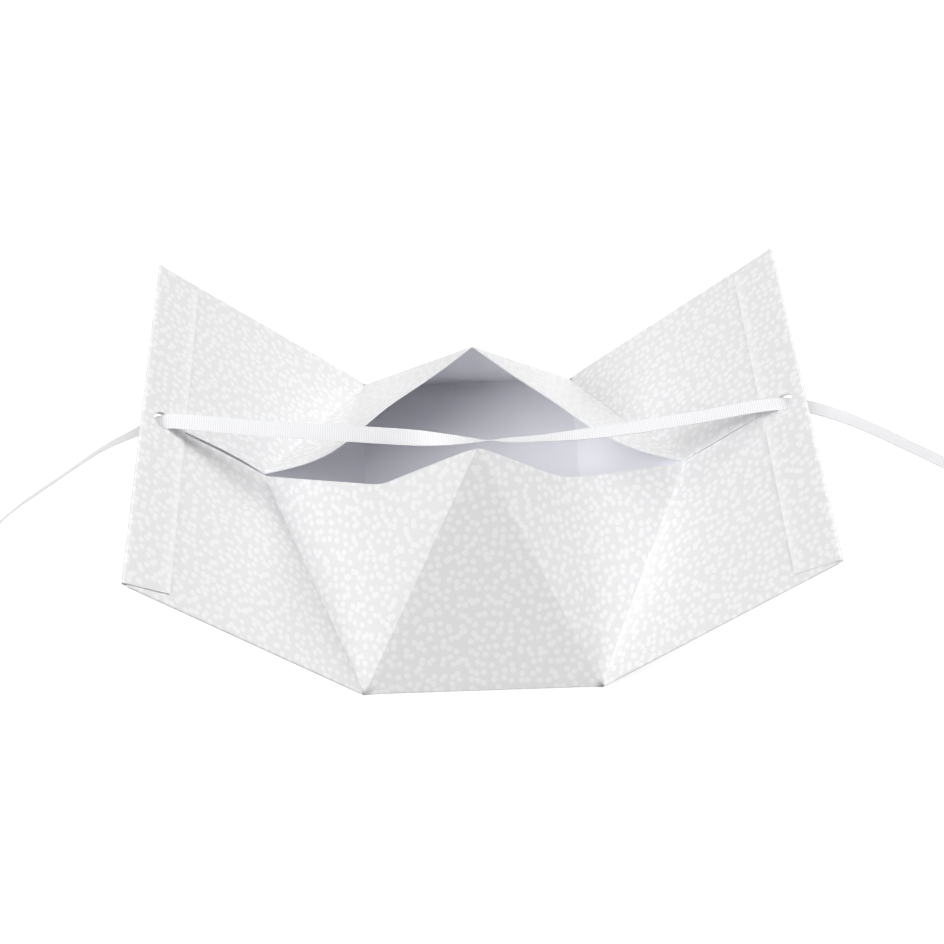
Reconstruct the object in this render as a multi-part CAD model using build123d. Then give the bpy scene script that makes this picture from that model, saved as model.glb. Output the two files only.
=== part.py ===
from build123d import *
import os
from math import atan2, cos, degrees, pi, radians, sin, sqrt, tan

# A foldable gift box, half open: one sheet of card, folded and tied with one ribbon.
# Millimetres. X runs across the base from wing to wing, Y from front to back, Z is up.
# The origin is on the floor under the middle of the base.

# Sheet, measured on its middle surface
card_thickness = 0.45
layer_gap = 0.12
crease_radius = 0.215

# Base, the two wings that close over it, and the two upright gable triangles
base_width = 100.0
base_depth = 180.5
wing_height = 119.8
wing_angle = 42.3
gable_side = 116.4
tip_blunt = 0.8

# Corner gussets: each has a flap flat on the wing and a panel turned in beside the gable.
# The front gable stands as the folds set it. The back one is pressed in this much further,
# in degrees, so its two panels spring into shallow cones.
back_press = 1.5
flap_split = 1.0
flap_edge_clearance = 2.0
rim_corner_in = 7.0
rim_corner_fall = 1.4

# Hem along the outer edge of each wing, folded in over the flaps
hem_width = 20.5
hem_taper = 4.5

# Ribbon and the holes that it runs through
ribbon_width = 7.0
ribbon_thickness = 0.3
hole_clearance = 0.75
hole_inset = 9.4
cut_overrun = 5.0

# The ribbon's route, seen from the front: how far right of the middle and how high
ribbon_route = [
    (-239.5, 0.15), (-222, 0.15), (-204.5, 21), (-182, 39.5), (-159, 59.5), (-143.5, 68.6),
    (-131.3, 75.3), (-117, 73), (-93, 69), (-50, 63.5), (6, 55.8), (48, 58.8), (90, 66.4),
    (117.3, 73), (131.3, 75.3), (144.3, 71.8), (163.5, 62.6), (189.5, 45.6), (218, 26.5),
    (236, 10.5), (248, 0.15), (262, 0.15),
]
bend_share = 0.45

# Sizes that follow
half_card = card_thickness / 2
layer_step = card_thickness + layer_gap
flap_depth = (base_depth - flap_split) / 2
gable_slant = sqrt(gable_side**2 - (base_width / 2) ** 2)
gable_corner = degrees(atan2(gable_slant, base_width / 2))
gusset_corner = (180 - gable_corner) / 2
crease_reach = base_depth / 2 / tan(radians(gusset_corner))
hole_diameter = ribbon_width + 2 * hole_clearance

across, back = Vector(1, 0, 0), Vector(0, 1, 0)
wing_run = (-across).rotate(Axis(Vector(), back), wing_angle)
wing_face = back.cross(wing_run)


def rising_root(error, high, halvings=40):
    """The value between 0 and a limit at which a rising error passes zero."""
    low = 0
    for _ in range(halvings):
        middle = (low + high) / 2
        low, high = (low, middle) if error(middle) > 0 else (middle, high)
    return low


def flat_panel(*corners):
    """A flat part of the sheet, half its thickness to each side of these corners."""
    return extrude(Face(Wire.make_polygon(corners)), amount=half_card, both=True)


def crease(start, end):
    """The rounded outside of a fold along a line."""
    line = end - start
    tube = Cylinder(crease_radius, line.length, align=(Align.CENTER, Align.CENTER, Align.MIN))
    return Plane(start, z_dir=line) * tube


def folded_edge(start, end, outward):
    """A sheet doubled back on itself: half a pipe between two layers a step apart."""
    ring = Circle(layer_step / 2 + half_card) - Circle(layer_step / 2 - half_card)
    ring &= Rectangle(layer_step, 2 * layer_step, align=(Align.MIN, Align.CENTER))
    return extrude(Plane(start, x_dir=outward, z_dir=end - start) * ring, (end - start).length)


def cone_through(start, middle, stop):
    """The axis of the cone that holds three unit directions, its turn and its flat angle."""
    axis = (middle - start).cross(stop - middle).normalized()
    hub = axis * start.dot(axis)
    turn = (start - hub).get_angle(middle - hub) + (middle - hub).get_angle(stop - hub)
    return axis, turn, turn * (start - hub).length


def corner_panel(tip, first, last, inside, sprung):
    """The panel between a gusset's crease and the gable, which keeps its flat angle.

    Its tip is at a corner of the base, and its creases end at first and last. It is flat,
    or it springs to the inside as a cone. Its free edge turns a corner between the creases.
    """
    to_first, to_last = first - tip, last - tip
    start, stop = to_first.normalized(), to_last.normalized()
    between = (start + stop).normalized()

    def bowed(rise):
        return between * cos(rise) + inside * sin(rise)

    def excess(rise):
        return cone_through(start, bowed(rise), stop)[2] - gusset_corner

    rise = rising_root(excess, pi / 4) if sprung else 0
    axis, turn, _ = cone_through(start, bowed(rise), stop)
    reach = max(to_first.length, to_last.length) + cut_overrun
    section = Plane(tip, x_dir=start, z_dir=axis.cross(start))
    strip = Rectangle(reach, card_thickness, align=(Align.MIN, Align.CENTER))
    cone = revolve(section * Pos(card_thickness) * strip, Axis(tip, axis), turn)

    corner_up = flap_depth - rim_corner_fall
    from_gable = degrees(atan2(corner_up, rim_corner_in)) - gable_corner
    ray = start.rotate(Axis(Vector(), axis), turn * (1 - from_gable / gusset_corner))
    point = tip + ray * sqrt(rim_corner_in**2 + corner_up**2)
    point -= inside * (point - tip).dot(inside)
    begin = first + (first - point).normalized() * cut_overrun
    finish = last + (last - point).normalized() * cut_overrun
    beyond = [tip + (finish - tip) * 2, tip + (begin - tip) * 2]
    waste = Face(Wire.make_polygon([begin, point, finish, *beyond]))
    return cone - extrude(waste, amount=reach, both=True)


def gusset_corners(lean, front):
    """Where a left gusset's creases end while its gable leans in by so many degrees."""
    corner = Vector(-base_width / 2, -front * base_depth / 2, half_card)
    rise = (back * front).rotate(Axis(Vector(), across), front * (90 - lean))
    apex = Vector(0, corner.Y, corner.Z) + rise * gable_slant
    pinch = corner + wing_face * (layer_step / 2)
    crease_end = corner + wing_face * layer_step + wing_run * crease_reach + back * front * flap_depth
    return corner, apex, pinch, crease_end


def gable_lean(press):
    """How far a gable leans in: until its panels are taut, and then by the press."""
    def slack(lean):
        _, apex, pinch, crease_end = gusset_corners(lean, 1)
        return gusset_corner - (crease_end - pinch).get_angle(apex - pinch)

    return rising_root(slack, 90) + press


def gusset(front, press):
    """The left gusset at the front or the back, and half of that gable."""
    corner, apex, pinch, crease_end = gusset_corners(gable_lean(press), front)
    inward = back * front
    lifted = corner + wing_face * layer_step
    outer = wing_run * (wing_height - flap_edge_clearance)
    inside = ((crease_end - pinch).cross(apex - pinch) * front).normalized()
    pieces = [
        flat_panel(lifted, lifted + outer, lifted + outer + inward * flap_depth, crease_end),
        folded_edge(pinch, pinch + wing_run * wing_height, -inward),
        corner_panel(pinch, crease_end, apex, inside, press > 0),
        flat_panel(corner, Vector(0, corner.Y, corner.Z), apex),
        crease(pinch, crease_end),
        crease(pinch, apex),
        Pos(*crease_end) * Sphere(crease_radius),
        Pos(*pinch) * Sphere(crease_radius),
    ]
    tip = Plane(apex, z_dir=apex - Vector(0, corner.Y, corner.Z)) * Pos(Z=-tip_blunt)
    tip *= Box(2 * cut_overrun, 2 * cut_overrun, cut_overrun, align=(Align.CENTER, Align.CENTER, Align.MIN))
    return [piece - tip for piece in pieces]


def sheet_strip():
    """Base, wings and hems: one strip of the sheet with the same bends all along its depth."""
    corner = Vector(base_width / 2, half_card)
    run = Vector(1, 0).rotate(Axis.Z, wing_angle)
    face = Vector(0, 1).rotate(Axis.Z, wing_angle)
    tip = corner + run * wing_height
    hem_tip = tip + face * (2 * layer_step)
    bend = tip + (face + run) * layer_step
    wing = Line(corner, tip) + ThreePointArc(tip, bend, hem_tip) + Line(hem_tip, hem_tip - run * hem_width)
    base = Line((-corner.X, corner.Y), corner)
    outline = trace(wing + base + mirror(wing, Plane.YZ), card_thickness)
    return extrude(Plane.XZ * outline, base_depth / 2, both=True)


def wing_cuts():
    """The ribbon hole in the left wing and the slanted ends of its hem."""
    hinge = Vector(-base_width / 2, 0, half_card)
    hem_face = Plane(hinge + wing_face * (2 * layer_step), x_dir=wing_run, z_dir=wing_face)
    hole = Pos(wing_height - hole_inset) * Cylinder(hole_diameter / 2, 2 * cut_overrun)
    inner, outer = wing_height - hem_width, wing_height + 2 * layer_step
    end, past_end = base_depth / 2, base_depth / 2 + cut_overrun
    past_inner = inner - cut_overrun
    sliver = make_face(
        Polyline((inner, end - hem_taper), (outer, end), (outer, past_end), (past_inner, past_end),
                 (past_inner, end - hem_taper), close=True)
    )
    wedge = extrude(sliver, layer_step / 2, both=True)
    return [hem_face * hole, hem_face * wedge, hem_face * mirror(wedge, Plane.XZ)]


def folded_card():
    """The whole sheet as one solid."""
    cuts = wing_cuts()
    left = gusset(1, 0) + gusset(-1, back_press)
    left = [piece - cuts[0] for piece in left]
    strip = sheet_strip()
    for cut in cuts:
        strip -= [cut, mirror(cut, Plane.YZ)]
    return strip.fuse(*left, *[mirror(piece, Plane.YZ) for piece in left])


def ribbon():
    """The ribbon as a flat band along its route: straight runs joined by tangent arcs."""
    points = [Vector(x, 0, z) for x, z in ribbon_route]
    radii = []
    for before, point, after in zip(points, points[1:], points[2:]):
        half_turn = radians((point - before).get_angle(after - point)) / 2
        run = min((point - before).length, (after - point).length)
        radii.append(bend_share * run / tan(half_turn))
    path = FilletPolyline(*points, radius=radii)
    section = Plane(path @ 0, x_dir=back, z_dir=path % 0) * Rectangle(ribbon_width, ribbon_thickness)
    band = sweep(section, path)
    print("ribbon radii", [round(r, 1) for r in radii], "length", round(path.length, 1))
    print("ribbon volume", round(band.volume, 2), round(path.length * ribbon_width * ribbon_thickness, 2))
    return band


os.makedirs("parts", exist_ok=True)
for name, shape in {"folded_card": folded_card(), "ribbon": ribbon()}.items():
    shape.label = name
    print(name, "solids", len(shape.solids()), "volume", round(shape.volume, 2), shape.is_valid)
    export_step(shape, f"parts/{name}.step")
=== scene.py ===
import math

import bmesh
import bpy
import numpy as np
from mathutils import Matrix


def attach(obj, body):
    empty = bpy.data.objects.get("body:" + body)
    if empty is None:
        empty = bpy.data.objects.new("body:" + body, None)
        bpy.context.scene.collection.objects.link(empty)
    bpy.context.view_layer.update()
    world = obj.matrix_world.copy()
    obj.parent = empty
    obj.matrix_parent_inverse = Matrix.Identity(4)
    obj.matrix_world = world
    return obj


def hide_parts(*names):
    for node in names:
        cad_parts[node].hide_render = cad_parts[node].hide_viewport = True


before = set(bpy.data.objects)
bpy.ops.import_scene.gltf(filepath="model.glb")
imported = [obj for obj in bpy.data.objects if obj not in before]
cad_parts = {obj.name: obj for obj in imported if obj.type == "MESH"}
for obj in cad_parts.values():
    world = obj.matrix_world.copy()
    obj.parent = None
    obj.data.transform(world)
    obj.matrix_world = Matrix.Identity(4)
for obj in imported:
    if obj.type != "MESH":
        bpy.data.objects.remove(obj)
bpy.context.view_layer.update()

# ---- The sheet of card ----------------------------------------------------------------
# The whole box is one sheet of 0.45 mm board, printed with dots outside and plain inside.
# It is laid out flat here as patches between its creases, and each patch is then placed
# where the folded box holds it. Lengths in this section are millimetres.
CARD = 0.45
LAYER = 0.57
WIDTH, DEPTH = 100.0, 180.5
WING, WING_ANGLE = 119.8, math.radians(42.3)
GABLE_SIDE = 116.4
FRONT_LEAN, BACK_LEAN = math.radians(35.2), math.radians(35.9)
TIP_BLUNT = 0.8

# The hem along each wing: its width, how far it is cut back at its ends and from how far
# out, and how far its edge and a strip's width in from there are whitened, partly for
# scuffed ink and partly as a painted highlight where the cut edge catches the light
HEM, HEM_TAPER, TAPER_FROM = 20.5, 4.5, 60
HEM_SCUFF_AND_HIGHLIGHT, WHITENED_STRIP = (1, 0.6), 0.8

# The flaps on a wing: the cut between them, where they end under the hem, over how many
# millimetres they rise off the wing and spring up beside the cut, and the power that lets
# the cut gape evenly along most of its length
FLAP_SPLIT, FLAP_END = 1.0, 2.0
FLAP_RISE_RUN, SPRING_WIDTH = 12, 26
CUT_FULLNESS = 0.7

# The corner in a gusset's free edge, and the ribbon's hole with the square of grid round it
RIM_CORNER = (7.0, 88.3)
HOLE_INSET, HOLE_RADIUS, HOLE_SQUARE = 9.4, 4.25, 6.0

# Folds are rounded to this radius, which fades out over the last millimetres to a corner.
# The slanting folds beside the gables are whitened a little, partly for wear and partly as a
# painted highlight where the crease catches the light.
FOLD_RADIUS, FADE_FROM = 0.5, 6.0
GABLE_SCUFF_AND_HIGHLIGHT = 0.2

# Sizes that follow
SLANT = math.sqrt(GABLE_SIDE**2 - (WIDTH / 2) ** 2)
GABLE_RAY = math.atan2(SLANT, WIDTH / 2)
GABLE_EDGE = GABLE_SIDE * (1 - TIP_BLUNT / SLANT)
GUSSET = (math.pi - GABLE_RAY) / 2
CREASE = DEPTH / 2 / math.tan(GUSSET)
FLAP = (DEPTH - FLAP_SPLIT) / 2
HOLE_AT = WING - HOLE_INSET
HEM_AT = WING - HEM
HEM_END = -WIDTH / 2 - 2 * WING - math.pi * LAYER

# The left wing's directions: up its slope, off its face and to the back
RUN = np.array([-math.cos(WING_ANGLE), 0, math.sin(WING_ANGLE)])
FACE = np.array([math.sin(WING_ANGLE), 0, math.cos(WING_ANGLE)])
BACK = np.array([0, 1.0, 0])
RIGHT = np.array([1.0, 0, 0])
CORNER = np.array([-WIDTH / 2, -DEPTH / 2, CARD / 2])

# The grids' steps. A fold is rounded in so many strips to each side of its crease.
ROWS, FREE_ROWS, DEPTH_ROWS = 26, 14, 20
HALF_COLUMNS, PANEL_COLUMNS, FLAP_COLUMNS = 14, 31, 25
STRIPS, RAY_STEPS, HOLE_RINGS = 3, 240, 4
END_BEND, HEM_BEND = np.linspace(0, math.pi, 7), np.linspace(0, math.pi, 9)
ROLL = np.arange(STRIPS) / STRIPS
FRACTIONS = np.linspace(0, 1, ROWS + 1)

# Places this near are the same, and a share this small stands for none. A crease's turn is
# measured from so small a share of the panel beside it.
TOUCH, TINY = 1e-6, 1e-9
BESIDE = 0.02

# Stations shared by patches that meet: up the wing's slope, from front to back, and across
hole_steps = np.array([0, 1.7, 3.2, HOLE_RADIUS, HOLE_SQUARE])
hole_steps = np.concatenate([-hole_steps[:0:-1], hole_steps])
run_stations = np.concatenate([
    CREASE * FRACTIONS, np.linspace(CREASE, HEM_AT, FREE_ROWS)[1:], [HEM_AT + WHITENED_STRIP],
    HOLE_AT + hole_steps, [WING - FLAP_END, WING],
])
half_depth = np.concatenate([
    [0, 1.5, 3], np.linspace(FADE_FROM, DEPTH / 2 - HOLE_SQUARE, DEPTH_ROWS),
])
depth_stations = np.concatenate([
    half_depth[:-1], DEPTH / 2 + hole_steps, DEPTH - half_depth[-2::-1],
])
width_stations = np.linspace(0, WIDTH, 2 * HALF_COLUMNS - 1)

patches = []


def add_patch(points, flat, side=(1, 1), fold=0):
    """Keeps a grid of points and its flat places, mirrored in X and Y by the two signs.

    fold is how far the card is whitened at each point, partly for wear and partly as a
    painted highlight: 1 at most, on a crease, and 0 beside it.
    """
    sx, sy = side
    fold = np.broadcast_to(fold, points.shape[:2])
    patches.append((points * (sx, sy, 1), flat * (sx, sy), fold))


def flat_place(x, y):
    """Places on a flat piece, from arrays of X and Y that spread to one grid."""
    return np.stack(np.broadcast_arrays(x, y), axis=-1)


def wing_point(run, back, up=0.0):
    """A place on the left wing: along its slope, from front to back, and off its face."""
    run, back, up = np.broadcast_arrays(run, back, up)
    return CORNER + run[..., None] * RUN + back[..., None] * BACK + up[..., None] * FACE


def rolled(crease, near, far, share):
    """A fold's rounding: the parabola from one side's tangent point to the other's.

    crease + (1 - t)^2 near + t^2 far, where t goes from 0 at the near side's tangent
    point to a half on the crease, and share is 1 there and 0 on the crease.
    """
    t = (1 - share) / 2
    return crease + (1 - t) ** 2 * near + t**2 * far


def tangent_length(distance, turn):
    """How far a fold's rounding reaches from its crease: radius times tan(turn / 2)."""
    return FOLD_RADIUS * math.tan(turn / 2) * np.minimum(1, distance / FADE_FROM)


def foot_length(lean):
    """How far the fold between the base and a gable rounds, at each station across."""
    return tangent_length(np.minimum(width_stations, WIDTH - width_stations), math.pi / 2 + lean)


def turn_between(a, b, line):
    """The angle that a fold along a line turns through, from directions into its sides."""
    line = line / np.linalg.norm(line)
    a, b = a - line * (a @ line), b - line * (b @ line)
    return math.pi - math.acos(a @ b / np.linalg.norm(a) / np.linalg.norm(b))


def foot_strip(line, foot, toward, beyond, flat_way):
    """The rounding at a gable's foot: rows from its crease to its tangent line on one side.

    The last row, folded and flat, is where the patch beside it starts.
    """
    shares = (*ROLL, 1)
    near, far = foot[:, None] * toward, foot[:, None] * beyond
    points = [rolled(line, near, far, share) for share in shares]
    flat = [flat_place(line[:, 0], line[:, 1] + flat_way * foot * share) for share in shares]
    return np.stack(points), np.stack(flat)


def polar_edge(angle, a, b):
    """The distance from the corner to the straight line through a and b, at each angle."""
    across = np.cos(angle) * (b[1] - a[1]) - np.sin(angle) * (b[0] - a[0])
    return (a[0] * b[1] - a[1] * b[0]) / across


def walked_along(line):
    """How far along a line of points each of them lies."""
    return np.concatenate([[0], np.cumsum(np.linalg.norm(np.diff(line, axis=0), axis=1))])


def read_between(where, stations, line):
    """Points of a line, read off straight between its stations."""
    return np.stack([np.interp(where, stations, line[:, k]) for k in range(3)], axis=-1)


def cone_rays(start, stop, bow):
    """Unit directions of a bowed panel at even steps of its flat angle.

    The plain arc between the two creases is pushed sideways by a sum of sines, and the
    steps are then evened out along the curve, so that the card isn't stretched.
    """
    side = np.cross(start, stop)
    side /= np.linalg.norm(side)
    turn = math.acos(start @ stop)
    t = np.linspace(0, 1, 2 * RAY_STEPS + 1)[:, None]
    rays = (np.sin((1 - t) * turn) * start + np.sin(t * turn) * stop) / math.sin(turn)
    rays += side * sum(size * np.sin((k + 1) * math.pi * t) for k, size in enumerate(bow))
    rays /= np.linalg.norm(rays, axis=1)[:, None]
    walked = walked_along(rays)
    return read_between(np.linspace(0, walked[-1], RAY_STEPS + 1), walked, rays)


def panel_point(share, fraction, rays, rim_blend):
    """A place on a gusset's bowed panel, folded and flat.

    share is how far its ray has turned from the crease to the gable, and fraction how far
    out it lies. The free edge is two straight lines that meet at the rim's corner as a
    soft maximum: the longer one plus log(1 + e^(-k d)) / k, where d is how much longer it
    is than the other, and k is rim_blend. On the creases it is the plain maximum.
    """
    angle = GABLE_RAY + (1 - share) * GUSSET
    first = polar_edge(angle, (-CREASE, FLAP), RIM_CORNER)
    second = polar_edge(angle, RIM_CORNER, (WIDTH / 2, SLANT))
    sharp = np.maximum(first, second)
    soft = sharp + np.log1p(np.exp(-rim_blend * np.abs(first - second))) / rim_blend
    edge = np.where(np.minimum(share, 1 - share) < TINY, sharp, soft)
    reach = np.minimum(edge, (SLANT - TIP_BLUNT) / np.sin(angle)) * fraction
    ray = read_between(share * RAY_STEPS, np.arange(RAY_STEPS + 1), rays)
    ray /= np.linalg.norm(ray, axis=-1)[..., None]
    flat_x, flat_y = -WIDTH / 2 + reach * np.cos(angle), -DEPTH / 2 - reach * np.sin(angle)
    return CORNER + reach[..., None] * ray, flat_place(flat_x, flat_y)


def add_gusset(side, lean, bow, rim_blend, cut_width, spring, crease_scuff_and_highlight):
    """One corner of the box, worked out at the front left and mirrored to its side.

    lean is how far the gable leans in. bow is how the panel beside it is bowed, as the
    sizes of a sum of sines, and rim_blend how sharply its free edge turns its corner.
    cut_width is how far the cut between two flaps gapes, spring how far the flap lifts
    beside it, and crease_scuff_and_highlight how far the crease is whitened, partly for
    wear and partly as a painted highlight.
    """
    rise = np.array([0, math.sin(lean), math.cos(lean)])
    apex = CORNER + (WIDTH / 2, 0, 0) + SLANT * rise
    crease_end = wing_point(CREASE, FLAP, LAYER)
    to_apex, to_crease = apex - CORNER, crease_end - CORNER
    crease_length = np.linalg.norm(to_crease)
    raised = LAYER * np.minimum(1, run_stations / FLAP_RISE_RUN)
    crease_line = wing_point(CREASE * FRACTIONS, FLAP * FRACTIONS, raised[: ROWS + 1])
    gable_line = CORNER + FRACTIONS[:, None] * to_apex * GABLE_EDGE / GABLE_SIDE
    half_row = (WIDTH / 2 * (1 - FRACTIONS * GABLE_EDGE / GABLE_SIDE))[:, None]
    rays = cone_rays(to_crease / crease_length, to_apex / np.linalg.norm(to_apex), bow)

    # How sharply the two slanting creases fold, halfway along, and how far they round
    beside = np.array([0, BESIDE, 1 - BESIDE, 1])
    row = panel_point(beside, FRACTIONS[ROWS // 2], rays, rim_blend)[0]
    crease_turn = turn_between(row[1] - row[0], -BACK, to_crease)
    gable_turn = turn_between(row[2] - row[3], RIGHT, to_apex)
    crease_reach = tangent_length(FRACTIONS * crease_length, crease_turn)[:, None]
    gable_reach = tangent_length(FRACTIONS * GABLE_EDGE, gable_turn)[:, None]
    gable_reach = np.minimum(gable_reach, half_row / 2)

    # The bowed panel turned in beside the gable
    rows = np.maximum(FRACTIONS, TINY)[:, None]
    first = crease_reach / (rows * crease_length * GUSSET)
    last = gable_reach / (rows * GABLE_EDGE * GUSSET)
    across = np.linspace(0, 1, PANEL_COLUMNS)
    shares = np.hstack([
        ROLL * first, first + across * (1 - last - first), 1 - ROLL[::-1] * last,
    ])
    points, flat = panel_point(shares, rows, rays, rim_blend)
    crease_near = points[:, STRIPS] - points[:, 0]
    gable_near = points[:, -1 - STRIPS] - points[:, -1]
    crease_far, gable_far = -crease_reach * BACK, gable_reach * RIGHT
    for k, share in enumerate(ROLL):
        points[:, k] = rolled(crease_line, crease_near, crease_far, share)
        points[:, -1 - k] = rolled(gable_line, gable_near, gable_far, share)
    # The creases are whitened, partly for wear and partly as a painted highlight where they catch
    # the light
    fold = np.zeros(points.shape[1])
    fold[:STRIPS], fold[-STRIPS:] = crease_scuff_and_highlight * (1 - ROLL), GABLE_SCUFF_AND_HIGHLIGHT * (1 - ROLL[::-1])
    add_patch(points, flat, side, fold)

    # Half of the gable, out to its middle line, with its fold to the base at the foot
    along = np.linspace(0, 1, HALF_COLUMNS)
    offsets = np.hstack([ROLL * gable_reach, gable_reach + along * (half_row - gable_reach)])
    points = gable_line[:, None, :] + offsets[..., None] * RIGHT
    for k, share in enumerate(ROLL):
        points[:, k] = rolled(gable_line, gable_far, gable_near, share)
    heights = FRACTIONS[:, None] * (SLANT - TIP_BLUNT)
    flat = flat_place(offsets - half_row, -DEPTH / 2 - heights)
    foot = np.concatenate([np.zeros(STRIPS), foot_length(lean)[:HALF_COLUMNS]])
    base_x = np.concatenate([np.zeros(STRIPS), width_stations[:HALF_COLUMNS]])
    base_line = CORNER + base_x[:, None] * RIGHT
    strip, strip_flat = foot_strip(base_line, foot, rise, BACK, -1)
    add_patch(strip, strip_flat, side)
    points[0], flat[0] = strip[-1], strip_flat[-1]
    # The gable's crease is whitened a little, partly for wear and partly as a painted highlight
    fold = np.zeros(points.shape[1])
    fold[:STRIPS] = GABLE_SCUFF_AND_HIGHLIGHT * (1 - ROLL)
    add_patch(points, flat, side, fold)

    # The flap on the wing, which ends under the hem and is cut round the ribbon's hole
    free = np.clip((run_stations - CREASE) / (HEM_AT - CREASE), 0, 1)
    gape = cut_width * np.sin(math.pi * free) ** CUT_FULLNESS
    ends = np.minimum(FLAP - gape, FLAP / CREASE * run_stations)
    in_hole = HOLE_RADIUS**2 - (run_stations - HOLE_AT) ** 2
    hole_edge = DEPTH / 2 - np.sqrt(np.maximum(in_hole, 0))
    ends = np.where(in_hole > 0, np.minimum(ends, hole_edge), ends)
    run, end, lift, free = (a[:-1, None] for a in (run_stations, ends, raised, free))
    reach = np.zeros(run.shape)
    reach[: ROWS + 1] = crease_reach
    steps = np.linspace(0, 1, FLAP_COLUMNS)
    back = np.hstack([steps * (end - reach), end - ROLL[::-1] * reach])
    near_cut = np.clip((back - FLAP + SPRING_WIDTH) / SPRING_WIDTH, 0, 1)
    points = wing_point(run, back, lift + spring * np.sin(math.pi * free) * near_cut**2)
    for k, share in enumerate(ROLL):
        points[: ROWS + 1, -1 - k] = rolled(crease_line, crease_far, crease_near, share)
    add_patch(points, flat_place(-WIDTH / 2 - run, -DEPTH / 2 - back), side)

    # The wing's end, where the card turns back on itself into the flap. It has next to no
    # width on the flat sheet.
    points = wing_point(run, -lift / 2 * np.sin(END_BEND), lift / 2 * (1 - np.cos(END_BEND)))
    add_patch(points, flat_place(-WIDTH / 2 - run, -DEPTH / 2 - 0.01 * END_BEND), side)


# The cut between the flaps gapes on the left wing. The front left panel bows outwards and
# the other three inwards.
# Each crease beside a flap is whitened for wear and as a painted highlight, least at the front
# left
add_gusset((1, 1), FRONT_LEAN, bow=(-0.0498, 0.0066, -0.007), rim_blend=1.6,
           cut_width=0.25, spring=0.9, crease_scuff_and_highlight=0.1)
add_gusset((-1, 1), FRONT_LEAN, bow=(0.0512, 0.0092, -0.0073), rim_blend=0.45,
           cut_width=0, spring=0.3, crease_scuff_and_highlight=0.8)
add_gusset((1, -1), BACK_LEAN, bow=(0.0739, 0.0233, 0.0106), rim_blend=1.0,
           cut_width=0.25, spring=1.1, crease_scuff_and_highlight=0.5)
add_gusset((-1, -1), BACK_LEAN, bow=(0.0772, 0.0158, 0.0058), rim_blend=1.0,
           cut_width=0, spring=0.4, crease_scuff_and_highlight=0.5)

# The base, with its folds to the wings and gables at its edges
rows = depth_stations[:, None]
side_reach = tangent_length(np.minimum(rows, DEPTH - rows), WING_ANGLE)
columns = np.hstack([
    ROLL * side_reach, side_reach + (WIDTH - 2 * side_reach) * width_stations / WIDTH,
    WIDTH - ROLL[::-1] * side_reach,
])
flat = flat_place(CORNER[0] + columns, CORNER[1] + rows)
points = np.dstack([flat, np.full(columns.shape, CORNER[2])])
edge = CORNER + rows * BACK
to_base, to_wing = side_reach * RIGHT, side_reach * RUN
for k, share in enumerate(ROLL):
    points[:, k] = rolled(edge, to_base, to_wing, share)
    points[:, -1 - k] = points[:, k] * (-1, 1, 1)
strips = []
for end, way, lean in ((0, 1, FRONT_LEAN), (-1, -1, BACK_LEAN)):
    foot = np.concatenate([np.zeros(STRIPS), foot_length(lean), np.zeros(STRIPS)])
    rise = np.array([0, way * math.sin(lean), math.cos(lean)])
    strip, strip_flat = foot_strip(points[end], foot, way * BACK, rise, way)
    strips.append((strip, strip_flat))
    points[end], flat[end] = strip[-1], strip_flat[-1]
for grid in ((points, flat), *strips):
    add_patch(*grid)


def hole_span(stations, middle):
    """Which two stations lie on the sides of the square round the hole."""
    sides = np.array([middle - HOLE_SQUARE, middle + HOLE_SQUARE])
    return np.searchsorted(stations, sides - TOUCH)


def add_around_hole(points, flat, first, last, side, fold):
    """A layer of the wing in four parts, which leave out the square round the hole.

    first and last are the square's columns in this grid. Its rows are the same in every
    layer.
    """
    low, high = hole_span(depth_stations, DEPTH / 2)
    for part in (
        (slice(0, low + 1), slice(None)), (slice(high, None), slice(None)),
        (slice(low, high + 1), slice(0, first + 1)), (slice(low, high + 1), slice(last, None)),
    ):
        add_patch(points[part], flat[part], side, fold[part])


def add_hole_ring(up, flat_start, flat_way, side):
    """The card between that square and the round hole: one outline drawn in to the other.

    up is how far the layer lies above the wing. Its place across the flat sheet is a
    start plus or minus its run along the wing's slope.
    """
    low, high = -HOLE_SQUARE, HOLE_SQUARE
    inner = hole_steps[1:-1]
    square = np.concatenate([
        [(a, low) for a in hole_steps], [(high, b) for b in inner],
        [(a, high) for a in hole_steps[::-1]], [(low, b) for b in inner[::-1]], [(low, low)],
    ])
    circle = square / np.linalg.norm(square, axis=1)[:, None] * HOLE_RADIUS
    t = np.linspace(0, 1, HOLE_RINGS)[:, None, None]
    ring = square * (1 - t) + circle * t
    run, back = HOLE_AT + ring[..., 0], ring[..., 1]
    flat = flat_place(flat_start + flat_way * run, back)
    add_patch(wing_point(run, DEPTH / 2 + back, up), flat, side)


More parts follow.
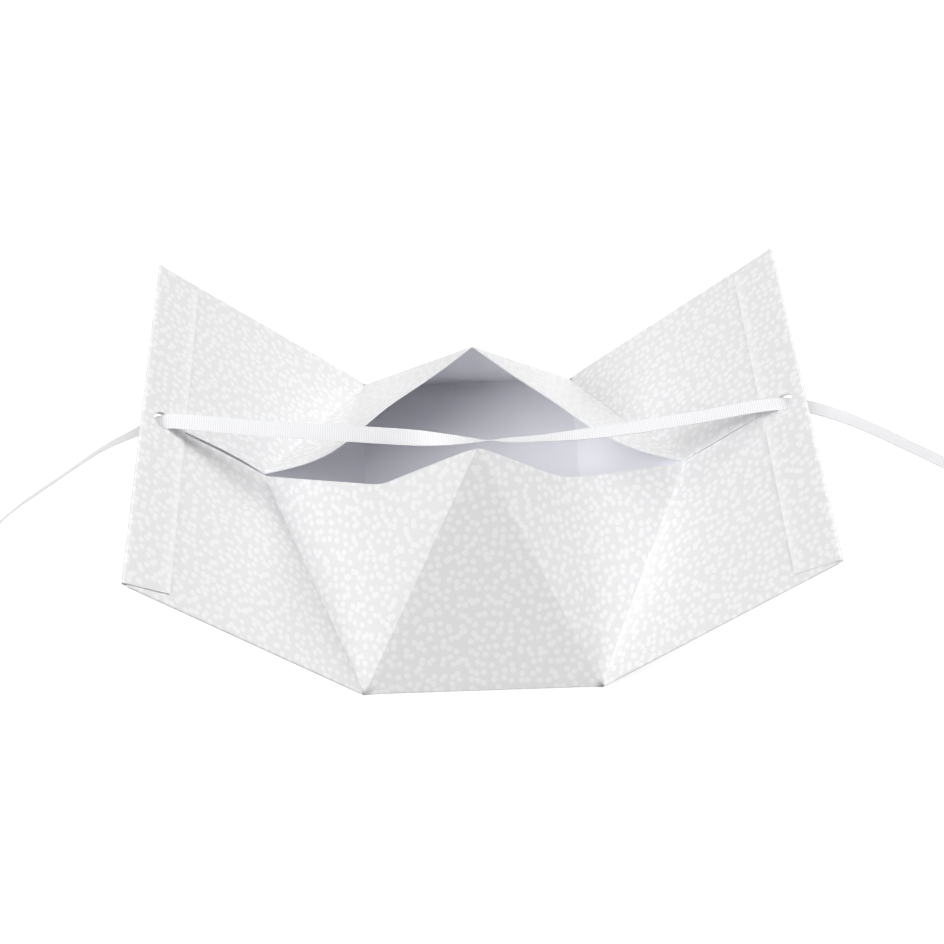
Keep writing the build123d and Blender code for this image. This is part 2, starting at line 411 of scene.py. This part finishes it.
# The two wings and their hems, folded over and cut back a little at each end
hem_stations = run_stations[run_stations > HEM_AT - TOUCH]
for side in ((1, 1), (-1, 1)):
    runs = np.hstack([ROLL * side_reach, side_reach, np.tile(run_stations[1:], (len(rows), 1))])
    points = wing_point(runs, rows)
    for k, share in enumerate(ROLL):
        points[:, k] = rolled(edge, to_wing, to_base, share)
    flat = flat_place(-WIDTH / 2 - runs, -DEPTH / 2 + rows)
    first, last = hole_span(run_stations, HOLE_AT) + STRIPS
    add_around_hole(points, flat, first, last, side, np.zeros(runs.shape))
    add_hole_ring(0, -WIDTH / 2, -1, side)

    # Half a pipe between the wing and its hem
    points = wing_point(WING + LAYER * np.sin(HEM_BEND), rows, LAYER * (1 - np.cos(HEM_BEND)))
    add_patch(points, flat_place(-WIDTH / 2 - WING - LAYER * HEM_BEND, -DEPTH / 2 + rows), side)

    # The hem, whose ends slant in towards its free edge
    from_middle = rows - DEPTH / 2
    near_end = np.clip((np.abs(from_middle) - TAPER_FROM) / (DEPTH / 2 - TAPER_FROM), 0, 1)
    from_tip = (WING - hem_stations) / HEM
    backs = rows - np.sign(from_middle) * near_end * from_tip * HEM_TAPER
    flat = flat_place(HEM_END + hem_stations, -DEPTH / 2 + backs)
    # The hem's inner edge is whitened: partly scuffed ink, partly a painted highlight where its
    # cut edge catches the light
    fold = np.zeros(backs.shape)
    fold[:, :2] = HEM_SCUFF_AND_HIGHLIGHT
    first, last = hole_span(hem_stations, HOLE_AT)
    points = wing_point(hem_stations, backs, 2 * LAYER)
    add_around_hole(points, flat, first, last, side, fold)
    add_hole_ring(2 * LAYER, HEM_END, 1, side)


def sheet_mesh(name):
    """Joins the patches to one sheet in metres: points that lie together are merged.

    Each cell of a grid is one face, with its corners in the order that turns the printed
    side out. The flat places are kept as the UV map, and the whitening, partly for wear and
    partly as a painted highlight, as an attribute.
    """
    mm, merged_within, shortest_edge = 0.001, 2e-6, 1e-7
    vertices, faces, places, folds = [], [], [], []
    start = 0
    for points, flat, fold in patches:
        index = start + np.arange(fold.size).reshape(fold.shape)
        quads = np.stack([index[:-1, :-1], index[:-1, 1:], index[1:, 1:], index[1:, :-1]], axis=-1)
        quads = quads.reshape(-1, 4)
        one, other = flat[1:, 1:] - flat[:-1, :-1], flat[1:, :-1] - flat[:-1, 1:]
        if np.sum(one[..., 0] * other[..., 1] - one[..., 1] * other[..., 0]) > 0:
            quads = quads[:, ::-1]
        vertices.append(points.reshape(-1, 3) * mm)
        places.append(flat.reshape(-1, 2) * mm)
        faces.append(quads)
        folds.append(fold.ravel())
        start += fold.size
    vertices, faces, places = np.vstack(vertices), np.vstack(faces), np.vstack(places)
    mesh = bpy.data.meshes.new(name)
    mesh.from_pydata(vertices.tolist(), [], faces.tolist())
    layer = mesh.uv_layers.new(name="flat")
    layer.data.foreach_set("uv", places[faces.ravel()].astype(np.float32).ravel())
    scuff_and_highlight = mesh.attributes.new("fold", "FLOAT", "POINT")
    scuff_and_highlight.data.foreach_set("value", np.concatenate(folds).astype(np.float32))
    build = bmesh.new()
    build.from_mesh(mesh)
    bmesh.ops.remove_doubles(build, verts=build.verts, dist=merged_within)
    bmesh.ops.dissolve_degenerate(build, dist=shortest_edge, edges=build.edges)
    build.to_mesh(mesh)
    build.free()
    return mesh


def thickened(thin, name, thickness, crisp_from):
    """The sheet given its thickness, half to each side, and crisp edges from this angle on."""
    solid = thin.modifiers.new("thickness", "SOLIDIFY")
    solid.thickness = thickness
    solid.offset = 0
    solid.use_even_offset = False
    solid.use_quality_normals = True
    solid.material_offset = 1
    solid.material_offset_rim = 2
    evaluated = thin.evaluated_get(bpy.context.evaluated_depsgraph_get())
    shown = bpy.data.meshes.new_from_object(evaluated)
    shown.name = name
    shown.shade_smooth()
    shown.set_sharp_from_angle(angle=crisp_from)
    return shown


class Finish:
    """A value in a material's node tree. Arithmetic on it adds Math nodes to the tree."""

    def __init__(self, tree, socket=None):
        self.tree, self.socket = tree, socket

    def node(self, kind, settings, inputs, output=0):
        """Adds a node: its settings first, then a value or a link for each of its inputs."""
        node = self.tree.nodes.new("ShaderNode" + kind)
        for name, value in settings.items():
            setattr(node, name, value)
        for key, value in inputs.items():
            if isinstance(value, Finish):
                self.tree.links.new(value.socket, node.inputs[key])
            else:
                node.inputs[key].default_value = value
        return Finish(self.tree, node.outputs[output])

    def maths(self, operation, *values):
        """Adds a Math node that works on these values."""
        return self.node("Math", {"operation": operation}, dict(enumerate(values)))

    def __add__(self, other):
        return self.maths("ADD", self, other)

    def __radd__(self, other):
        return self.maths("ADD", other, self)

    def __sub__(self, other):
        return self.maths("SUBTRACT", self, other)

    def __rsub__(self, other):
        return self.maths("SUBTRACT", other, self)

    def __mul__(self, other):
        return self.maths("MULTIPLY", self, other)

    def __rmul__(self, other):
        return self.maths("MULTIPLY", other, self)

    def cosine(self):
        return self.maths("COSINE", self)

    def ramp(self, low, high):
        """0 below low and 1 above high, with a soft step between them."""
        limits = {"Value": self, "From Min": low, "From Max": high}
        return self.node("MapRange", {"interpolation_type": "SMOOTHSTEP"}, limits)

    def blend(self, first, second):
        """A colour between two, with this value as the share of the second."""
        return self.node("Mix", {"data_type": "RGBA"}, {0: self, 6: first, 7: second}, 2)


def new_finish(name):
    """A material with only its output node, and a value to start expressions from."""
    material = bpy.data.materials.new(name)
    material.use_nodes = True
    material.node_tree.nodes.clear()
    return material, Finish(material.node_tree)


def close_finish(start, shader, kind="Material"):
    """Joins the last shader to the output of a material or the world."""
    output = start.tree.nodes.new("ShaderNodeOutput" + kind)
    start.tree.links.new(shader.socket, output.inputs["Surface"])


PRINT_GREY, DOT_WHITE = (0.698, 0.698, 0.705, 1), (0.774, 0.774, 0.782, 1)
# The white that creases and the hem's edge are whitened towards, partly for scuffed ink and partly
# as a painted highlight
SCUFFED_AND_LIT_WHITE = (0.88, 0.88, 0.88, 1)
INSIDE_DULL, INSIDE_WHITE = (0.91, 0.91, 0.95, 1), (0.925, 0.925, 0.965, 1)
CUT_DULL, CUT_WHITE = (0.84, 0.84, 0.85, 1), (0.92, 0.92, 0.92, 1)

# In metres: how far apart the dots lie, their radius, how soft their edge is to each side
# of it, and how far it strays from round. A disorder of 0 would lay them in rows.
DOT_CELL, DOT_RADIUS, DOT_EDGE, DOT_NUDGE = 0.0037, 0.00125, 0.0003, 0.00012
DOT_DISORDER = 0.85


def new_card(name, grain_strength):
    """A card material: its flat places, faint clouds in the coat, and a bump of fine grain."""
    material, start = new_finish(name)
    flat = start.node("UVMap", {"uv_map": "flat"}, {})
    grain = start.node("TexNoise", {}, {"Vector": flat, "Scale": 2600, "Detail": 3})
    cloud = start.node("TexNoise", {}, {"Vector": flat, "Scale": 60, "Detail": 2})
    bump = start.node("Bump", {}, {
        "Strength": grain_strength, "Distance": 0.00004, "Height": grain * 0.6 + cloud * 0.4,
    })
    return material, start, flat, cloud, bump


dotted, start, flat, cloud, bump = new_card("dotted_card", 0.35)
nudge = start.node("TexNoise", {}, {"Vector": flat, "Scale": 700, "Detail": 1}, 1)
shift = start.node("VectorMath", {"operation": "SCALE"}, {0: nudge, "Scale": DOT_NUDGE})
place = start.node("VectorMath", {"operation": "ADD"}, {0: flat, 1: shift})
cells = {"Vector": place, "Scale": 1 / DOT_CELL, "Randomness": DOT_DISORDER}
distance = start.node("TexVoronoi", {"voronoi_dimensions": "2D"}, cells)
dot = 1 - distance.ramp((DOT_RADIUS - DOT_EDGE) / DOT_CELL, (DOT_RADIUS + DOT_EDGE) / DOT_CELL)
# Creases and the hem's edge are whitened by the sheet's attribute, partly for wear and partly as a
# painted highlight
scuff_and_highlight = start.node("Attribute", {"attribute_name": "fold"}, {}, 2)
printed = (dot * (0.94 + cloud * 0.12)).blend(PRINT_GREY, DOT_WHITE)
close_finish(start, start.node("BsdfPrincipled", {}, {
    "Base Color": (scuff_and_highlight * 0.5).blend(printed, SCUFFED_AND_LIT_WHITE), "Normal": bump, "IOR": 1.45,
    "Roughness": 0.46 + dot * 0.08 + cloud * 0.06,
}))

plain, start, flat, cloud, bump = new_card("plain_card", 0.5)
close_finish(start, start.node("BsdfPrincipled", {}, {
    "Base Color": cloud.blend(INSIDE_DULL, INSIDE_WHITE), "Normal": bump, "IOR": 1.4,
    "Roughness": 0.66 + cloud * 0.1,
}))

cut, start, flat, cloud, bump = new_card("cut_card", 0.8)
close_finish(start, start.node("BsdfPrincipled", {}, {
    "Base Color": cloud.blend(CUT_DULL, CUT_WHITE), "Normal": bump, "Roughness": 0.85,
}))

thin_sheet = bpy.data.objects.new("thin_sheet", sheet_mesh("thin_sheet"))
bpy.context.scene.collection.objects.link(thin_sheet)
for finish in (dotted, plain, cut):
    thin_sheet.data.materials.append(finish)
shown_sheet = thickened(thin_sheet, "folded_sheet", CARD / 1000, crisp_from=math.radians(40))
sheet = bpy.data.objects.new("folded_sheet", shown_sheet)
bpy.context.scene.collection.objects.link(sheet)
bpy.data.objects.remove(thin_sheet)
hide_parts("folded_card")
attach(sheet, "root")

# ---- The ribbon -------------------------------------------------------------------------
# One length of narrow white ribbon, woven with ribs across it. It lies loose in the two
# holes, sags between them, and rests its slanted ends on the floor. From left to right it
# leans forwards, then so far back that it shows its edge, and then lies flat.
RIBBON_WIDTH, RIBBON_THICKNESS = 0.007, 0.0003

# The length from rib to rib, how deep the grooves between them are, and what share of that
# depth the underside has. They fade out at the selvedges, over a share of half the width.
# Over the length of a slanted end the grid's steps come to slant with the cut.
RIB_PITCH, RIB_RISE, UNDER_RIBS = 0.00098, 0.00011, 0.6
SELVEDGE, SLANTED_END = 0.12, 0.012

# The grid's steps, over how many of them the lean and curl are eased, and the curl in
# radians that a flat stretch still has, since the arc's sizes are divided by the curl
STEPS_A_RIB, RIBBON_COLUMNS, EASED_STEPS = 5, 9, 61
LEAST_CURL = 1e-6
# The ribbon's white, and the darker white painted into the grooves as their shade
SHADED_GROOVE_WHITE, RIB_WHITE = (0.615, 0.615, 0.63, 1), (0.775, 0.775, 0.79, 1)
ribbon_route = np.array([
    (-239.5, 0.15), (-222, 0.15), (-204.5, 21), (-182, 39.5), (-159, 59.5), (-143.5, 68.6),
    (-131.3, 75.9), (-117, 73.6), (-93, 69), (-50, 63.5), (6, 55.8), (48, 58.8), (90, 66.4),
    (117.3, 73), (131.3, 75.3), (144.3, 71.8), (163.5, 62.6), (189.5, 45.6), (218, 26.5),
    (236, 10.5), (248, 0.15), (262, 0.15),
]) / 1000

# By place in X, in millimetres: how far back the ribbon's upper face leans, in degrees, and
# how far it is curled across its width
ribbon_leans = np.array([
    (-240, 0), (-225, 0), (-208, 23), (-180, 25), (-168, 23), (-156, 20), (-147, 16), (-141, 6),
    (-136, -6), (-131, -12), (-122, -17), (-105, -21), (-80, -24), (-60, -29), (-48, -34),
    (-38, -38), (-30, -33), (-22, -19), (-13, 3), (-5, 21), (2, 38), (6, 54), (9, 46),
    (12, 35), (20, 28), (29, 24), (37, 16), (46, 9), (54, 5), (71, 0),
    (118, 2), (131, 0), (142, -4), (206, -6), (225, -3), (240, 0), (262, 0),
])
ribbon_curls = np.array([
    (-240, 0), (-141, 6), (-131, 20), (-118, 8), (-60, 8), (-10, 16), (8, 2), (20, 8), (118, 6),
    (131, 25), (142, 6), (262, 0),
])


def line_along(route):
    """Points along the smooth line whose control points are a route in X and Z."""
    line = bpy.data.curves.new("ribbon_line", "CURVE")
    line.dimensions = "3D"
    line.resolution_u = 40
    spline = line.splines.new("NURBS")
    spline.points.add(len(route) - 1)
    controls = np.ones((len(route), 4))
    controls[:, 0], controls[:, 1], controls[:, 2] = route[:, 0], 0, route[:, 1]
    spline.points.foreach_set("co", controls.ravel())
    spline.order_u = 3
    spline.use_endpoint_u = True
    line_object = bpy.data.objects.new("ribbon_line", line)
    bpy.context.scene.collection.objects.link(line_object)
    followed = bpy.data.meshes.new_from_object(line_object)
    points = np.empty(len(followed.vertices) * 3)
    followed.vertices.foreach_get("co", points)
    bpy.data.objects.remove(line_object)
    bpy.data.meshes.remove(followed)
    return points.reshape(-1, 3)


def ring_mesh(name, rings, uv, crisp_from):
    """A mesh from rings of points, each joined to the next, with a face on each end."""
    rows, columns = rings.shape[:2]
    index = np.arange(rows * columns).reshape(rows, columns)
    following = np.roll(index, -1, axis=1)
    quads = np.stack([index[:-1], following[:-1], following[1:], index[1:]], axis=-1)
    quads = quads.reshape(-1, 4)
    ends = [index[0, ::-1].tolist(), index[-1].tolist()]
    mesh = bpy.data.meshes.new(name)
    mesh.from_pydata(rings.reshape(-1, 3).tolist(), [], quads.tolist() + ends)
    layer = mesh.uv_layers.new(name="flat")
    corners = np.concatenate([quads.ravel(), index[0, ::-1], index[-1]])
    layer.data.foreach_set("uv", uv.reshape(-1, 2)[corners].astype(np.float32).ravel())
    mesh.shade_smooth()
    mesh.set_sharp_from_angle(angle=crisp_from)
    return mesh


def eased(table, where):
    """A table's angles at these places in X, averaged over steps with a bell's weights."""
    bell = np.hanning(EASED_STEPS) / np.hanning(EASED_STEPS).sum()
    angles = np.pad(np.interp(where, *table.T), EASED_STEPS // 2, "edge")
    return np.radians(np.convolve(angles, bell, "valid"))[:, None]


def ribbon_mesh(path):
    """The ribbon swept along its line.

    At each step along the line the width lies at its lean from level, bent to an arc by
    its curl. Ribs rise and fall as a cosine of the length, and fade out at the selvedges.
    Near the two ends the steps slant across the width.
    """
    walked = walked_along(path)
    length = walked[-1]
    steps = np.linspace(0, length, int(length / RIB_PITCH) * STEPS_A_RIB + 1)[:, None]
    across = np.linspace(-1, 1, RIBBON_COLUMNS)
    near_start = np.clip(1 - steps / SLANTED_END, 0, 1)
    near_end = np.clip(1 - (length - steps) / SLANTED_END, 0, 1)
    slant = near_start * (1 + across) - near_end * (1 - across)
    along = steps + slant * RIBBON_WIDTH / 2
    centre = read_between(along, walked, path)
    tangent = read_between(along, walked, np.gradient(path, walked, axis=0))
    tangent /= np.linalg.norm(tangent, axis=-1)[..., None]
    upward = np.stack([-tangent[..., 2], 0 * along, tangent[..., 0]], axis=-1)

    middle_x = centre[:, RIBBON_COLUMNS // 2, 0] * 1000
    lean, curl = eased(ribbon_leans, middle_x), eased(ribbon_curls, middle_x) + LEAST_CURL
    width_way = np.cos(lean)[..., None] * BACK - np.sin(lean)[..., None] * upward
    face_way = np.sin(lean)[..., None] * BACK + np.cos(lean)[..., None] * upward
    bend = across * curl / 2
    aside = np.sin(bend) / curl * RIBBON_WIDTH
    depth = (np.cos(bend) - np.cos(curl / 4)) / curl * RIBBON_WIDTH
    face_here = np.sin(bend)[..., None] * width_way + np.cos(bend)[..., None] * face_way
    middle = centre + aside[..., None] * width_way + depth[..., None] * face_way

    groove = 0.5 - 0.5 * np.cos(2 * math.pi * along / RIB_PITCH)
    sunk = RIB_RISE * groove * np.clip((1 - np.abs(across)) / SELVEDGE, 0, 1)
    top = middle + (RIBBON_THICKNESS / 2 - sunk)[..., None] * face_here
    under = middle - (RIBBON_THICKNESS / 2 - UNDER_RIBS * sunk)[..., None] * face_here
    uv = flat_place(along, across * RIBBON_WIDTH / 2)
    rings = np.concatenate([top, under[:, ::-1]], axis=1)
    uv = np.concatenate([uv, uv[:, ::-1]], axis=1)
    return ring_mesh("ribbon_band", rings, uv, crisp_from=math.radians(50))


# Threads run along the ribbon, six times longer than wide, and the grooves between ribs are
# painted darker as their shade
white_ribbon, start = new_finish("white_ribbon")
weave = start.node("UVMap", {"uv_map": "flat"}, {})
stretched = start.node("VectorMath", {"operation": "MULTIPLY"}, {0: weave, 1: (1, 6, 1)})
thread = start.node("TexNoise", {}, {"Vector": stretched, "Scale": 1400, "Detail": 2})
bump = start.node("Bump", {}, {"Strength": 0.4, "Distance": 0.00003, "Height": thread})
along_ribbon = start.node("SeparateXYZ", {}, {"Vector": weave})
groove = 0.5 - (along_ribbon * (2 * math.pi / RIB_PITCH)).cosine() * 0.5
close_finish(start, start.node("BsdfPrincipled", {}, {
    "Base Color": (thread * 0.35 + groove * 0.65).blend(RIB_WHITE, SHADED_GROOVE_WHITE),
    "Roughness": 0.5 + thread * 0.15, "Normal": bump,
    "Sheen Weight": 0.5, "Sheen Roughness": 0.45,
}))

path = line_along(ribbon_route)
band = bpy.data.objects.new("ribbon_band", ribbon_mesh(path))
bpy.context.scene.collection.objects.link(band)
band.data.materials.append(white_ribbon)
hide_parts("ribbon")
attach(band, "root")

# ---- The floor, light and camera ----------------------------------------------------------
# The box stands on a plain white floor in soft light from above. The floor and what is
# beyond it look white, and only a soft shadow shows under the box.
FLOOR_REACH, FLOOR_HEIGHT = 3, -0.0002
FLOOR_SHADE, FLOOR_GLOW = 0.45, 0.75
SKY_LIGHT = 0.12


def shows_background(start):
    """1 for a ray that shows what is behind: from the camera, mirrored or through glass."""
    rays = ("Is Camera Ray", "Is Glossy Ray", "Is Transmission Ray")
    seen, mirrored, through = (start.node("LightPath", {}, {}, ray) for ray in rays)
    return seen + mirrored + through


floor_corners = FLOOR_REACH * np.array([(-1, -1, 0), (1, -1, 0), (1, 1, 0), (-1, 1, 0)])
floor_mesh = bpy.data.meshes.new("floor")
floor_mesh.from_pydata(floor_corners.tolist(), [], [(0, 1, 2, 3)])
floor = bpy.data.objects.new("floor", floor_mesh)
floor.location.z = FLOOR_HEIGHT
bpy.context.scene.collection.objects.link(floor)
white_floor, start = new_finish("white_floor")
glow = start.node("Emission", {}, {
    "Color": (1, 1, 1, 1), "Strength": shows_background(start) * FLOOR_GLOW,
})
matt = start.node("BsdfDiffuse", {}, {"Color": (FLOOR_SHADE, FLOOR_SHADE, FLOOR_SHADE, 1)})
close_finish(start, start.node("AddShader", {}, {0: matt, 1: glow}))
floor.data.materials.append(white_floor)

world = bpy.data.worlds.new("studio")
bpy.context.scene.world = world
world.use_nodes = True
world.node_tree.nodes.clear()
start = Finish(world.node_tree)
close_finish(start, start.node("Background", {}, {
    "Color": (1, 1, 1, 1), "Strength": SKY_LIGHT + shows_background(start) * (1 - SKY_LIGHT),
}), "World")


def add_sun(name, energy, azimuth, height, spread):
    """A soft distant lamp, by the compass side and height that it shines from."""
    lamp = bpy.data.objects.new(name, bpy.data.lights.new(name, "SUN"))
    lamp.data.energy = energy
    lamp.data.angle = math.radians(spread)
    lamp.rotation_euler = (math.radians(90 - height), 0, math.radians(180 - azimuth))
    bpy.context.scene.collection.objects.link(lamp)


add_sun("back_right_low", 1.3, azimuth=62, height=38, spread=36)
add_sun("back_right_high", 1.3, azimuth=45, height=62, spread=36)
add_sun("front_left", 2.5, azimuth=233, height=46, spread=44)

# The lens looks down from in front, where the photograph was taken from
camera = bpy.data.objects.new("camera", bpy.data.cameras.new("camera"))
bpy.context.scene.collection.objects.link(camera)
toward, down, roll = math.radians(2.09663), math.radians(48.83127), math.radians(0.16986)
camera.data.lens = 66.343
camera.data.sensor_width = 36
camera.location = (-0.0195794, -0.5011671, 0.6101897)
turned = Matrix.Rotation(-toward, 3, "Z") @ Matrix.Rotation(math.pi / 2 - down, 3, "X")
camera.rotation_euler = (turned @ Matrix.Rotation(-roll, 3, "Z")).to_euler()
bpy.context.scene.camera = camera
bpy.context.scene.view_settings.view_transform = "Standard"
